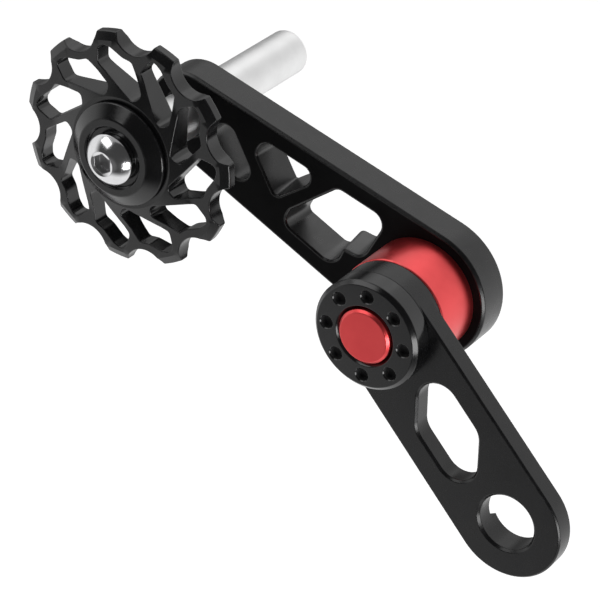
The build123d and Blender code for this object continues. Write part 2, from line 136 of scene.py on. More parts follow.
def easedProfile(corners, steps=4, rest=0.05, mostShare=0.45, restShare=0.2):
    # an open profile of (a, b, ease) corners: each corner is replaced by a quadratic curve that
    # starts and ends `ease` away from it, with a support point just before and after the curve
    corners = np.asarray(corners, float)
    out = [corners[:1, :2]]
    for before, corner, after in zip(corners[:-2], corners[1:-1], corners[2:]):
        ease = corner[2]
        if ease <= 0:
            out.append(corner[None, :2])
            continue
        back = before[:2] - corner[:2]
        ahead = after[:2] - corner[:2]
        ease = min(ease, mostShare * np.hypot(*back), mostShare * np.hypot(*ahead))
        back, ahead = back / np.hypot(*back), ahead / np.hypot(*ahead)
        t = np.linspace(0, 1, steps + 1)[:, None]
        curve = corner[:2] + back * ease * (1 - t) ** 2 + ahead * ease * t ** 2
        pad = min(rest, restShare * ease)
        out += [curve[:1] + back * pad, curve, curve[-1:] + ahead * pad]
    out.append(corners[-1:, :2])
    return np.concatenate(out)


# A shell gathers vertices and faces in millimetres, and becomes one closed mesh. Its quads and
# tris take a piece's first finish, and the groups named second and third the next ones.

def newShell():
    lists = ("verts", "quads", "tris", "second", "third", "wear", "crease")
    return {"count": 0, **{name: [] for name in lists}}


def addPoints(shell, points, wear=0.0, crease=0):
    points = np.asarray(points, float).reshape(-1, 3)
    shell["verts"].append(points)
    shell["wear"].append(np.broadcast_to(np.asarray(wear, float), (len(points),)))
    shell["crease"].append(np.full(len(points), crease))
    first = shell["count"]
    shell["count"] += len(points)
    return np.arange(first, shell["count"])


def addGrid(shell, grid, wear, closed=True, wrapped=False):
    # grid[i, j]: i runs round the loop and j along the profile
    size = grid.shape[:2]
    ids = addPoints(shell, grid, np.broadcast_to(wear, size).ravel()).reshape(size)
    if wrapped:  # the profile's last point is its first one
        ids = np.concatenate([ids, ids[:, :1]], 1)
    after = np.roll(ids, -1, 0) if closed else ids[1:]
    here = ids if closed else ids[:-1]
    quads = np.stack([here[:, :-1], after[:, :-1], after[:, 1:], here[:, 1:]], -1)
    shell["quads"].append(quads.reshape(-1, 4))
    return ids


def addFan(shell, ring, tip, group="tris"):  # closes a ring of vertices with triangles to one point
    top = addPoints(shell, tip)[0]
    shell[group].append(np.stack([ring, np.roll(ring, -1), np.full(len(ring), top)], -1))


def markColumns(shell, ids, marked, group="second"):
    # moves the marked columns of the last grid to another group, as triangles
    quads = shell["quads"].pop().reshape(len(ids), -1, 4)
    shell["quads"].append(quads[:, ~marked].reshape(-1, 4))
    moved = quads[:, marked].reshape(-1, 4)
    shell[group].append(np.concatenate([moved[:, [0, 1, 2]], moved[:, [0, 2, 3]]]))


def profileWear(profile, sharpest=16):  # 1 where the profile bends most, 0 on its straight parts
    run = np.diff(profile, axis=0)
    heading = np.unwrap(np.arctan2(run[:, 1], run[:, 0]))
    bend = np.zeros(len(profile))
    bend[1:-1] = np.abs(np.diff(heading))
    return np.clip(bend / np.radians(sharpest), 0, 1)


def addBand(shell, loop, profile, step=4.0, run=1.5):
    # point = loop point - air * inset at depth y, for every (inset, y) of the profile
    points, airs = walkLoop(loop, step, run)
    flat = points[:, None] - airs[:, None] * profile[None, :, :1]
    return addGrid(shell, upright(flat, profile[:, 1]), profileWear(profile))


def insideLoops(spots, rings):
    # a spot is inside where a ray to the right crosses the rings an odd number of times
    odd = np.zeros(len(spots), bool)
    for ring in rings:
        after = np.roll(ring, -1, 0)
        x0, z0, x1, z1 = ring[:, 0], ring[:, 1], after[:, 0], after[:, 1]
        spans = (z0 > spots[:, 1:]) != (z1 > spots[:, 1:])
        rise = np.where(z1 == z0, 1e-12, z1 - z0)
        hit = x0 + (spots[:, 1:] - z0) * (x1 - x0) / rise
        odd ^= (np.count_nonzero(spans & (spots[:, :1] < hit), axis=1) % 2).astype(bool)
    return odd


def addFace(shell, rings, extraIds=None, extraEdges=None, group="tris"):
    # fills the region between rings of existing vertices with triangles; extra vertices and edges
    # inside it are kept
    verts = np.concatenate(shell["verts"])
    ids = np.concatenate(list(rings) + ([extraIds] if extraIds is not None else []))
    flat = verts[ids][:, [0, 2]]
    edges, first, outlines = [], 0, []
    for ring in rings:
        span = np.arange(first, first + len(ring))
        edges.append(np.stack([span, np.roll(span, -1)], 1))
        outlines.append(flat[span])
        first += len(ring)
    if extraEdges is not None:
        edges.append(extraEdges + first)
    edges = np.concatenate(edges)
    made = delaunay_2d_cdt([Vector(spot) for spot in flat], edges.tolist(), [], 0, tiny)
    source = np.array([origin[0] for origin in made[3]])
    tris = source[np.array(made[2])]
    corners = flat[tris]
    sides = np.linalg.norm(corners - np.roll(corners, 1, 1), axis=2).max(1)
    first, second = corners[:, 1] - corners[:, 0], corners[:, 2] - corners[:, 0]
    area = np.abs(first[:, 0] * second[:, 1] - first[:, 1] * second[:, 0]) / 2
    real = area > tiny * sides ** 2  # slivers along straight rims are left out
    shell[group].append(ids[tris[real & insideLoops(corners.mean(1), outlines)]])


def addLathe(shell, centre, profile, count=144):
    # point = centre + radius * (cos, sin) at depth y, for every (radius, y); radius 0 is a pole
    ray = rays(np.linspace(0, 2 * np.pi, count, endpoint=False))
    wrapped = np.allclose(profile[0], profile[-1])
    used = profile[:, 0] > tiny
    used[-1] &= not wrapped
    inner = profile[used]
    flat = centre + ray[:, None] * inner[None, :, :1]
    ids = addGrid(shell, upright(flat, inner[:, 1]), profileWear(profile)[used], wrapped=wrapped)
    for end in (0, -1):
        if profile[end, 0] <= tiny:
            addFan(shell, ids[:, end], upright(centre, profile[end, 1]))


def addObject(name, data):
    made = bpy.data.objects.new(name, data)
    bpy.context.scene.collection.objects.link(made)
    return made


def fillMesh(name, shell, finishes=()):  # a mesh in metres, smooth, with its faces turned outwards
    mesh = bpy.data.meshes.new(name)
    faces = [np.concatenate(shell[group]).tolist() if shell[group] else []
             for group in ("quads", "tris", "second", "third")]
    mesh.from_pydata((np.concatenate(shell["verts"]) * mm).tolist(), [], sum(faces, []))
    number = np.repeat([0, 0, 1, 2], [len(group) for group in faces])
    number = np.minimum(number, max(len(finishes) - 1, 0))
    mesh.polygons.foreach_set("material_index", number.astype(np.int32))
    for finish in finishes:
        mesh.materials.append(finish)
    work = bmesh.new()
    work.from_mesh(mesh)
    bmesh.ops.recalc_face_normals(work, faces=work.faces[:])
    loose = sum(not edge.is_manifold for edge in work.edges)
    work.to_mesh(mesh)
    work.free()
    mesh.shade_smooth()
    return mesh, loose


def makePiece(name, shell, body, slot, finishes, *nodes):
    mesh, loose = fillMesh(name, shell, finishes)
    wear = np.concatenate(shell["wear"]).astype(np.float32)
    mesh.attributes.new("wear", "FLOAT", "POINT").data.foreach_set("value", wear)
    crease = np.concatenate(shell["crease"])
    if crease.any():  # edges along which a face changes slope stay crisp
        ends = np.zeros(len(mesh.edges) * 2, np.int32)
        mesh.edges.foreach_get("vertices", ends)
        ends = crease[ends.reshape(-1, 2)]
        sharp = mesh.attributes.new("sharp_edge", "BOOLEAN", "EDGE")
        sharp.data.foreach_set("value", (ends[:, 0] > 0) & (ends[:, 0] == ends[:, 1]))
    piece = addObject(name, mesh)
    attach(piece, body)
    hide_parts(*nodes)
    print("piece", name, len(mesh.polygons), "faces,", loose, "open edges")
    return piece


def buildTurned(name, centre, rows, count, body, slot, finish, node):  # turned about an axle
    shell = newShell()
    addLathe(shell, centre, easedProfile(rows), count)
    makePiece(name, shell, body, slot, [finish], node)


# Finishes

def setInputs(tree, node, inputs):  # an input takes a constant, or a link to another node's output
    for name, value in inputs.items():
        if isinstance(value, bpy.types.NodeSocket):
            tree.links.new(value, node.inputs[name])
        else:
            node.inputs[name].default_value = value


def addNode(tree, kind, inputs, output=0, **settings):
    node = tree.nodes.new("ShaderNode" + kind)
    for name, value in settings.items():
        setattr(node, name, value)
    setInputs(tree, node, inputs)
    return node.outputs[output]


def startFinish(name):
    material = bpy.data.materials.new(name)
    material.use_nodes = True
    tree = material.node_tree
    return material, tree, tree.nodes["Principled BSDF"], addNode(tree, "TexCoord", {}, "Object")


def addMath(tree, kind, first, second):
    return addNode(tree, "Math", {0: first, 1: second}, operation=kind)


def addNoise(tree, vector, scale, detail=2.0, rough=0.5):
    inputs = {"Vector": vector, "Scale": scale, "Detail": detail, "Roughness": rough}
    return addNode(tree, "TexNoise", inputs, "Fac")


def addRange(tree, value, levels, span=(0.3, 0.7), **settings):
    return addNode(tree, "MapRange", {
        "Value": value, "From Min": span[0], "From Max": span[1],
        "To Min": levels[0], "To Max": levels[1],
    }, "Result", **settings)


def addTint(tree, factor, low, high):
    inputs = {"Factor": factor, "A": low, "B": high}
    return addNode(tree, "Mix", inputs, "Result", data_type="RGBA")


def addClouds(tree, spot, scale, detail, dark, light):  # uneven tone between two colours
    cloud = addRange(tree, addNoise(tree, spot, scale, detail), (0, 1))
    return addTint(tree, cloud, (*dark, 1), (*light, 1))


def addWear(tree, spot, colour, worn):  # paler metal along the eased edges, in patches
    mark = addNode(tree, "Attribute", {}, "Fac", attribute_name="wear")
    patch = addRange(tree, addNoise(tree, spot, skin["wearScale"], 3), *skin["wear"])
    return addTint(tree, addMath(tree, "MULTIPLY", mark, patch), colour, (*worn, 1))


def addMarks(tree, spot, centre, period, around):
    # tool marks: rings about an axle when around is true, otherwise bands along it
    place = (-centre[0] * mm, 0, -centre[1] * mm)
    moved = addNode(tree, "Mapping", {"Vector": spot, "Location": place}, "Vector")
    return addNode(tree, "TexWave", {
        "Vector": moved, "Scale": skin["markScale"] / (period * mm),
        "Distortion": 0.6, "Detail": 1.0, "Detail Scale": 0.4,
    }, "Fac", wave_type="RINGS" if around else "BANDS", rings_direction="Y", bands_direction="Y")


def addBump(tree, height, strength, distance, under=None):
    inputs = {"Height": height, "Strength": strength, "Distance": distance}
    if under is not None:
        inputs["Normal"] = under
    return addNode(tree, "Bump", inputs, "Normal")


skin = {  # dyed oxide: noise scales, bump strengths and bump heights in metres
    "cloudScale": 140, "glossScale": 420, "grainScale": 7000, "grain": (0.10, 0.00002),
    "marks": (0.10, 0.000012), "markScale": 0.314, "coatRough": 0.2,
    "wearScale": 900, "wear": ((0, 0.2), (0.42, 0.66)),  # levels, and the noise between them
}
metal = {"cloudScale": 260, "grainHeight": 0.00002}
plastic = {"cloudScale": 300, "glossScale": 900, "grainScale": 5000, "grain": (0.15, 0.00003)}


def anodised(name, dark, light, worn, rough, centre=None, period=0.0, around=True, metallic=0.0,
             gloss=0.5, coat=0.0):
    # dyed oxide skin: faint tone clouds, fine grain, uneven gloss, and on turned pieces tool marks
    # about a centre, one every period of millimetres
    material, tree, shader, spot = startFinish(name)
    tone = addClouds(tree, spot, skin["cloudScale"], 4, dark, light)
    normal = addBump(tree, addNoise(tree, spot, skin["grainScale"]), *skin["grain"])
    if period:
        marks = addMarks(tree, spot, centre, period, around)
        normal = addBump(tree, marks, *skin["marks"], normal)
    setInputs(tree, shader, {
        "Base Color": addWear(tree, spot, tone, worn),
        "Roughness": addRange(tree, addNoise(tree, spot, skin["glossScale"], 5, 0.6), rough),
        "Metallic": metallic, "Specular IOR Level": gloss,
        "Coat Weight": coat, "Coat Roughness": skin["coatRough"], "Normal": normal,
    })
    return material


def bareMetal(name, dark, light, rough, grainScale, strength=0.15, stretch=(1, 1, 1)):
    # bare metal: gloss follows a noise that is stretched along the grinding direction
    material, tree, shader, spot = startFinish(name)
    drawn = addNode(tree, "Mapping", {"Vector": spot, "Scale": stretch}, "Vector")
    grain = addNoise(tree, drawn, grainScale, 3)
    setInputs(tree, shader, {
        "Base Color": addClouds(tree, spot, metal["cloudScale"], 3, dark, light),
        "Roughness": addRange(tree, grain, rough), "Metallic": 1.0,
        "Normal": addBump(tree, grain, strength, metal["grainHeight"]),
    })
    return material


def moulded(name, dark, light, rough):  # plain moulded plastic or rubber with a fine skin
    material, tree, shader, spot = startFinish(name)
    setInputs(tree, shader, {
        "Base Color": addClouds(tree, spot, plastic["cloudScale"], 3, dark, light),
        "Roughness": addRange(tree, addNoise(tree, spot, plastic["glossScale"], 3), rough),
        "Normal": addBump(tree, addNoise(tree, spot, plastic["grainScale"]), *plastic["grain"]),
    })
    return material


def greys(dark, light, blue):  # two grey tones, both a little bluer
    return (dark, dark, dark + blue), (light, light, light + blue)


# Tones: dark, light and worn
blackTones = (0.0045, 0.0045, 0.005), (0.008, 0.008, 0.0085), (0.09, 0.09, 0.095)
# darker copy of the black tones for the arm's front face: partly a matt finish, partly painted
# shade that keeps the face darker than its edges
mattShadedTones = (0.0025, 0.0025, 0.0028), (0.0045, 0.0045, 0.0048), (0.05, 0.05, 0.05)
# a lighter grey for the lock ring's pin holes: painted light that lifts the walls and floors, which
# would otherwise stay in shade
holePaintedLightTones = (0.030, 0.030, 0.031), (0.040, 0.040, 0.041), (0.06, 0.06, 0.06)
redTones = (0.86, 0.070, 0.076), (0.94, 0.088, 0.092), (0.95, 0.30, 0.28)

armEdgeFinish = anodised("armEdgeBlack", *blackTones, (0.24, 0.34))
armCutFinish = anodised("armCutBlack", *blackTones, (0.26, 0.34), gloss=1.0)
# the arm's front face: a matt, less glossy finish whose darker colour is painted shade
armFaceShadedFinish = anodised("armFaceShadedBlack", *mattShadedTones, (0.50, 0.62), gloss=0.06)
linkFinish = anodised("linkBlack", *blackTones, (0.22, 0.30), gloss=0.42)
wheelFinish = anodised("wheelBlack", *blackTones, (0.16, 0.24), pulley, 0.22, gloss=0.56)
coverFinish = anodised("coverBlack", *blackTones, (0.11, 0.18), pulley, 0.12)
ringFinish = anodised("ringBlack", *blackTones, (0.15, 0.22), pivot, 0.14, gloss=0.56)
# the pin holes' walls and floors: the ring's anodising with painted light, lighter than the face
# around them
holePaintedLightFinish = anodised("holePaintedLight", *holePaintedLightTones, (0.40, 0.50), gloss=0.3)
barrelFinish = anodised("barrelRed", *redTones, (0.30, 0.38), pivot, 0.16, around=False,
                        metallic=0.92, coat=0.3)
shaftFinish = bareMetal("shaftGround", *greys(0.84, 0.90, 0), (0.34, 0.44), 9000, 0.06,
                        stretch=(0.02, 1, 0.02))
boltFinish = bareMetal("boltBright", *greys(0.68, 0.78, 0.01), (0.12, 0.19), 2500, 0.05)
# the bolt's hexagon socket and drill point: the bolt's steel, painted darker and rougher as painted
# shade in the recess
socketPaintedShadeFinish = bareMetal("socketPaintedShade", *greys(0.36, 0.46, 0.005), (0.36, 0.50), 3000, 0.05)
screwFinish = bareMetal("screwDark", (0.045, 0.045, 0.048), (0.075, 0.075, 0.08),
                        (0.32, 0.46), 4000)
springFinish = bareMetal("springWire", *greys(0.36, 0.48, 0.01), (0.28, 0.42), 4000)
bearingFinish = bareMetal("bearingSteel", *greys(0.56, 0.68, 0.01), (0.14, 0.26), 3000, 0.05)
bushFinish = bareMetal("bushBronze", (0.46, 0.31, 0.13), (0.56, 0.40, 0.19), (0.34, 0.50), 5000)
plasticFinish = moulded("washerPlastic", (0.035, 0.035, 0.036), (0.06, 0.06, 0.06), (0.45, 0.60))
sealFinish = moulded("sealRubber", *greys(0.022, 0.036, 0), (0.55, 0.70))
print("finishes ready")


# Mounting link

link = {
    "front": -2.0, "back": 2.0, "boreEnd": 10.45, "pivotEnd": 10.2, "chamfer": 0.3, "ease": 0.10,
    "bore": 5.25, "boreChamfer": 0.45, "holeEase": 0.08,
    "bushSeat": 6.07, "seatChamfer": 0.1, "seatEase": 0.03,
    "slotFromPivot": 12.6, "slotFromBore": 9.4, "slotHalf": 5.65, "slotSlant": 42.0,
    "slotTip": 4.0, "slotCorner": 4.0, "slotChamfer": 0.4,
    "bossBack": 2.55, "bossGap": 0.02, "bossLap": 0.01, "bossSink": 0.005,
    "lugOuter": 8.1, "lugHeight": 1.1, "lugStart": 206.0, "lugEnd": 335.0, "lugSteps": 48,
    "lugGap": 0.004, "lugSink": 0.05, "lugFoot": 0.04,
}


def plateEdge(front, back, chamfer, ease, margin=0.2, draft=0.0):
    # front rim, chamfer, wall, chamfer and back rim as (inset, y); a hole with draft is narrower
    # at the back
    return easedProfile([
        (chamfer + margin, front, 0), (chamfer, front, ease), (0, front + chamfer, ease),
        (-draft, back - chamfer, ease), (chamfer - draft, back, ease),
        (chamfer - draft + margin, back, 0),
    ])


def slotLoop():
    half = link["slotHalf"]
    lean = half / math.tan(math.radians(link["slotSlant"]))
    near, far = link["slotFromPivot"], layout["linkReach"] - link["slotFromBore"]
    slot = cornerLoop([
        (near - lean, half, link["slotTip"]), (near + lean, -half, link["slotCorner"]),
        (far + lean, -half, link["slotTip"]), (far - lean, half, link["slotCorner"]),
    ])
    return placeLoop(slot, pivot, layout["linkAngle"] + 180)


def buildLink():
    shell = newShell()
    front, back = link["front"], link["back"]
    outer = strapLoop(origin, link["boreEnd"], pivot, link["pivotEnd"], 1)
    rims = (
        (outer, link["chamfer"], link["ease"]),
        (slotLoop(), link["slotChamfer"], link["holeEase"]),
        (circleLoop(origin, link["bore"], -1), link["boreChamfer"], link["holeEase"]),
        (circleLoop(pivot, link["bushSeat"], -1), link["seatChamfer"], link["seatEase"]),
    )
    rings = [addBand(shell, loop, plateEdge(front, back, *edge)) for loop, *edge in rims]
    for column in (0, -1):
        addFace(shell, [ids[:, column] for ids in rings])

    # Boss: a collar round the pivot, level with the link's round end and raised at the back
    inner, radius = link["bushSeat"] + link["bossGap"], link["pivotEnd"] + link["bossLap"]
    low, high = front + link["bossSink"], link["bossBack"]
    addLathe(shell, pivot, easedProfile([
        (inner, (low + high) / 2, 0), (inner, high, 0.1), (radius, high, 0.12),
        (radius, low, 0.03), (inner, low, 0.03), (inner, (low + high) / 2, 0),
    ]))

    # Stop lug: a bar section carried round the bore, level with its wall and closed at both ends
    inner, outer = link["bore"] + link["lugGap"], link["lugOuter"]
    low, high = back - link["boreChamfer"] - link["lugSink"], back + link["lugHeight"]
    foot = low + link["lugFoot"]
    section = easedProfile([
        (inner, low, 0), (inner, foot, 0), (inner, high, 0.10), (outer, high, 0.2),
        (outer, foot, 0), (outer, low, 0),
    ])
    ray = rays(np.radians(np.linspace(link["lugStart"], link["lugEnd"], link["lugSteps"])))
    grid = upright(ray[:, None] * section[None, :, :1], section[:, 1])
    ids = addGrid(shell, grid, profileWear(section), closed=False)
    shell["quads"].append(np.stack([ids[:-1, -1], ids[1:, -1], ids[1:, 0], ids[:-1, 0]], -1))
    for end in (0, -1):
        addFan(shell, ids[end], upright((inner + outer) / 2 * ray[end], (low + high) / 2))
    makePiece("linkPlate", shell, "link", "black_anodised", [linkFinish], "mount_link")


buildLink()


# Pivot: lock ring, thrust washer and the red barrel with its post

washer = {
    "radius": 9.0, "bore": 5.07, "front": -2.6, "back": -2.05, "rimEase": 0.12, "boreEase": 0.08,
}
ring = {
    "radius": 10.22, "back": -2.05, "front": -6.15, "chamfer": 0.7, "backChamfer": 0.05,
    "bore": 5.07, "sink": 0.65, "seatChamfer": 0.1, "recess": 9.02, "margin": 0.3, "step": 2.5,
    "holes": 8, "holeRadius": 1.15, "holeDepth": 1.3, "holeChamfer": 0.2, "holeCircle": 7.62,
    "holePhase": 86.7, "holeFloor": 0.6, "holeStep": 9,
}
barrel = {
    "postFront": -6.6, "postRadius": 5.05, "postBevel": 0.48, "shoulder": 3.15, "hub": 6.2,
    "radius": 10.35, "front": 2.65, "back": 12.4, "cavity": 8.95, "floor": 10.4,
    "screwHole": 3.02, "screwEnd": 4.9,
}


def buildLockRing():
    shell = newShell()
    front, back, seat = ring["front"], ring["back"], washer["front"]
    chamfer, rear, sink, corner = (
        ring[name] for name in ("chamfer", "backChamfer", "sink", "seatChamfer"))
    margin = ring["margin"]
    bands = (  # radius, side and the (inset, y, ease) corners of the rim, the bore and the recess
        (ring["radius"], 1, [
            (chamfer + 0.2, front, 0), (chamfer, front, 0.14), (0, front + chamfer, 0.14),
            (0, back - rear, 0.02), (rear, back, 0.02), (rear + 0.2, back, 0),
        ]),
        (ring["bore"], -1, [
            (sink + 0.15, front, 0), (sink, front, 0.1), (0, front + sink, 0.1),
            (0, seat - corner, 0.04), (corner, seat, 0.04), (margin, seat, 0),
        ]),
        (ring["recess"], -1, [
            (margin, back, 0), (0, back, 0.06), (0, seat, 0.06), (-margin, seat, 0),
        ]),
    )
    outer, inner, recess = (
        addBand(shell, circleLoop(pivot, radius, side), easedProfile(corners), ring["step"])
        for radius, side, corners in bands)
    floor, chamfer = front + ring["holeDepth"], ring["holeChamfer"]
    profile = easedProfile([
        (chamfer + 0.08, front, 0), (chamfer, front, 0.06), (0, front + chamfer, 0.06),
        (0, floor, 0.05), (-ring["holeFloor"], floor, 0),
    ])
    rims = []
    for index in range(ring["holes"]):
        spot = pivot + polar(ring["holeCircle"], ring["holePhase"] + index * 360 / ring["holes"])
        hole = circleLoop(spot, ring["holeRadius"], -1)
        ids = addBand(shell, hole, profile, ring["holeStep"])
        # the hole's wall and floor take the second finish, a lighter grey of painted light
        markColumns(shell, ids, profile[:-1, 1] > front + chamfer)
        addFan(shell, ids[:, -1], upright(spot, floor + 0.01), "second")
        rims.append(ids[:, 0])
    addFace(shell, [outer[:, 0], inner[:, 0]] + rims)
    addFace(shell, [outer[:, -1], recess[:, 0]])
    addFace(shell, [recess[:, -1], inner[:, -1]])
    makePiece("lockRing", shell, "arm", "black_anodised", [ringFinish, holePaintedLightFinish], "lock_ring")


def washerRows(sizes):
    inner, outer, front, back = (sizes[key] for key in ("bore", "radius", "front", "back"))
    start = (inner, (front + back) / 2, 0)
    return [
        start, (inner, front, sizes["boreEase"]), (outer, front, sizes["rimEase"]),
        (outer, back, sizes["rimEase"]), (inner, back, sizes["boreEase"]), start,
    ]


def barrelRows():
    b = barrel
    return [
        (0, b["postFront"], 0), (b["postRadius"] - b["postBevel"], b["postFront"], 0.08),
        (b["postRadius"], ring["front"], 0.08), (b["postRadius"], b["shoulder"], 0.05),
        (b["hub"], b["shoulder"], 0.1), (b["hub"], b["floor"], 0.2), (b["cavity"], b["floor"], 0.2),
        (b["cavity"], b["front"], 0.1), (b["radius"], b["front"], 0.32),
        (b["radius"], b["back"], 0.10), (b["screwHole"], b["back"], 0.1),
        (b["screwHole"], b["screwEnd"], 0.1), (0, b["screwEnd"], 0),
    ]


buildLockRing()
buildTurned("thrustWasher", pivot, washerRows(washer), 128, "arm", "acetal", plasticFinish,
            "front_thrust_washer")
buildTurned("springBarrel", pivot, barrelRows(), 192, "arm", "red_anodised", barrelFinish,
            "spring_barrel")


# Main arm

arm = {
    "front": 12.4, "back": 19.4, "pivotEnd": 12.45, "pulleyEnd": 8.0, "chamfer": 0.45, "ease": 0.14,
    "step": 2.5, "rail": 3.6, "spanStart": 6.3, "seatRadius": 12.0,
    "slotRadius": 2.2, "slotEnds": ((0.069, 1.3), (0.201, -2.6)),  # share of the span, height
    # Corners of the cut-outs: share of the span, rail (1 upper, -1 lower, 0 none), height from
    # that rail or from the middle line, corner radius
    "second": (
        (0.258, 1, -3.5, 1.2), (0.44, 1, -9.2, 1.2), (0.565, 1, -3.0, 1.6), (0.58, 1, 0, 1.9),
        (0.25, 1, 0, 2.4),
    ),
    "third": (
        (0.54, 0, -3.2, 1.4), (0.53, -1, 0, 2.0), (0.875, -1, 0, 2.8), (0.876, 0, -2.85, 0.6),
        (0.985, 0, -2.1, 2.8), (1.017, 1, 0, 2.4), (0.72, 1, 0, 2.0),
    ),
    "cutoutChamfer": 0.25, "cutoutEase": 0.1, "cutoutStep": 6, "cutoutRun": 1.2,
    "drafts": (0.0, 0.8, 0.8),
    "shaftBore": 4.35, "boreChamfer": 0.2, "boreEase": 0.06,
    "screwHole": 3.15, "screwHead": 6.0, "screwNeck": 2.85,
    "grubRadius": 2.52, "grubReach": 9.0, "sharpAngle": 50,
}
armMiddle = (arm["front"] + arm["back"]) / 2
armDown = polar(1.0, layout["armAngle"] + 90)


def armCutouts():  # drawn along the arm from the pulley shaft, with its upper side as +z
    span = layout["armReach"] - arm["seatRadius"] - arm["spanStart"]

    def along(share):
        return arm["spanStart"] + span * share

    def rail(share):
        taper = (arm["pivotEnd"] - arm["pulleyEnd"]) * along(share) / layout["armReach"]
        return arm["pulleyEnd"] + taper - arm["rail"]

    start, end = (np.array([along(share), height]) for share, height in arm["slotEnds"])
    loops = [strapLoop(start, arm["slotRadius"], end, arm["slotRadius"], -1)]
    for name in ("second", "third"):
        loops.append(cornerLoop([
            (along(share), side * rail(share) + height, radius)
            for share, side, height, radius in arm[name]]))
    return [placeLoop(loop, pulley, layout["armAngle"] + 180) for loop in loops]


def cutGrubHole(piece):  # from the lower edge into the shaft bore
    shell = newShell()
    radius, reach = arm["grubRadius"], arm["grubReach"]
    addLathe(shell, origin, np.array([(0, 0.0), (radius, 0.0), (radius, reach), (0, reach)]), 64)
    cutMesh = fillMesh("grubHole", shell)[0]
    turn = Vector((0, 1, 0)).rotation_difference(Vector(upright(armDown, 0))).to_matrix().to_4x4()
    cutMesh.transform(Matrix.Translation(Vector(upright(pulley, armMiddle)) * mm) @ turn)
    cutter = addObject("grubHole", cutMesh)
    cut = piece.modifiers.new("grubHole", "BOOLEAN")
    cut.object = cutter
    cut.operation = "DIFFERENCE"
    cut.solver = "EXACT"
    bpy.context.view_layer.update()
    solved = piece.evaluated_get(bpy.context.evaluated_depsgraph_get())
    finished = bpy.data.meshes.new_from_object(solved)
    piece.modifiers.clear()
    piece.data = finished
    bpy.data.objects.remove(cutter)
    finished.set_sharp_from_angle(angle=math.radians(arm["sharpAngle"]))


def buildArm():
    shell = newShell()
    front, back = arm["front"], arm["back"]
    outer = strapLoop(pivot, arm["pivotEnd"], pulley, arm["pulleyEnd"], 1)
    edge = plateEdge(front, back, arm["chamfer"], arm["ease"])
    rings = [addBand(shell, outer, edge, arm["step"])]
    wallHalf = (back - front) / 2 - arm["cutoutChamfer"]
    for loop, draft in zip(armCutouts(), arm["drafts"]):
        profile = plateEdge(front, back, arm["cutoutChamfer"], arm["cutoutEase"], draft=draft)
        rings.append(addBand(shell, loop, profile, arm["cutoutStep"], arm["cutoutRun"]))
        if draft:
            depth = (profile[1:, 1] + profile[:-1, 1]) / 2
            markColumns(shell, rings[-1], abs(depth - armMiddle) < wallHalf, "third")
    edge = plateEdge(front, back, arm["boreChamfer"], arm["boreEase"])
    rings.append(addBand(shell, circleLoop(pulley, arm["shaftBore"], -1), edge))
    head = arm["screwHead"] - arm["screwHole"]
    screw = easedProfile([
        (0.2, front, 0), (0, front, 0), (0, back - arm["screwNeck"], 0.1), (head, back, 0.06),
        (head + 0.15, back, 0),
    ])
    rings.append(addBand(shell, circleLoop(pivot, arm["screwHole"], -1), screw))
    # the front face takes the second finish, the darker copy with painted shade
    addFace(shell, [ids[:, 0] for ids in rings], group="second")
    addFace(shell, [ids[:, -1] for ids in rings])
    finishes = [armEdgeFinish, armFaceShadedFinish, armCutFinish]
    cutGrubHole(makePiece("mainArm", shell, "arm", "black_anodised", finishes, "main_arm"))


buildArm()


# Pulley wheel

wheel = {
    "teeth": 11, "chainPitch": 12.7, "rollerRadius": 3.875, "toothHeight": 3.04, "seat": 4.3,
    "phase": 99.43, "cornerRound": 0.3, "boreRadius": 8.02, "hub": 10.4, "rimInner": 15.1,
    "bevel": 1.5, "halfHub": 2.6, "halfRim": 1.6, "halfTip": 0.8, "wall": 1.44,
    "edge": 0.16, "margin": 0.10, "rest": 0.03, "drop": 0.05, "edgeSteps": 6,
    # Corners of a window: circle they are measured from, distance outside it, turn in tooth
    # pitches, corner radius
    "window": (
        ("root", -2.5, 0.269, 1.0), ("hub", 0.1, -0.776, 1.2), ("hub", 2.0, -0.929, 1.0),
        ("wall", 0, -0.501, 1.0), ("wall", 0.25, -0.309, 3.0), ("root", 0.3, -0.076, 2.0),
        ("root", 1.2, 0.144, 1.3),
    ),
    "creaseStep": 1.5, "creaseClear": 0.12,
}
toothPitch = 360 / wheel["teeth"]
pitchRadius = wheel["chainPitch"] / (2 * math.sin(math.radians(toothPitch / 2)))
wheelRoot = pitchRadius - wheel["rollerRadius"]
wheelTip = wheelRoot + wheel["toothHeight"]


def wheelHalf(radius):  # half thickness of the wheel at a radius
    return np.interp(
        radius, [wheel["hub"], wheel["rimInner"], wheelTip - wheel["bevel"], wheelTip],
        [wheel["halfHub"], wheel["halfRim"], wheel["halfRim"], wheel["halfTip"]])


def toothLoop():  # tip arc, rounded corner, tooth gap, rounded corner, for every tooth
    tip, seat, small, pitch = wheelTip, wheel["seat"], wheel["cornerRound"], toothPitch
    reach = wheelRoot + seat
    crown = tip - small
    swing = np.degrees(np.arccos(
        (crown ** 2 + reach ** 2 - (seat + small) ** 2) / (2 * reach * crown)))
    half = pitch / 2 - swing
    rows = []
    for index in range(wheel["teeth"]):
        tooth = wheel["phase"] + index * pitch
        gap = polar(reach, tooth + pitch / 2)
        near, far = polar(crown, tooth + half), polar(crown, tooth + pitch - half)
        toGap = np.degrees(np.arctan2(*(gap - near)[::-1]))
        fromGap = np.degrees(np.arctan2(*(gap - far)[::-1]))
        rows += [
            [0, 0, tip, tooth - half, tooth + half, 1],
            [*near, small, tooth + half, tooth + half + (toGap - tooth - half) % 360, 1],
            [*gap, seat, toGap + 180, toGap + 180 - (toGap - fromGap) % 360, -1],
            [*far, small, fromGap, fromGap + (tooth + pitch - half - fromGap) % 360, 1],
        ]
    return np.array(rows, float)


def windowLoop():
    circles = {"root": wheelRoot, "hub": wheel["hub"], "wall": wheelRoot - wheel["wall"]}
    return cornerLoop([
        (*polar(circles[circle] + outside, turn * toothPitch), corner)
        for circle, outside, turn, corner in wheel["window"]])


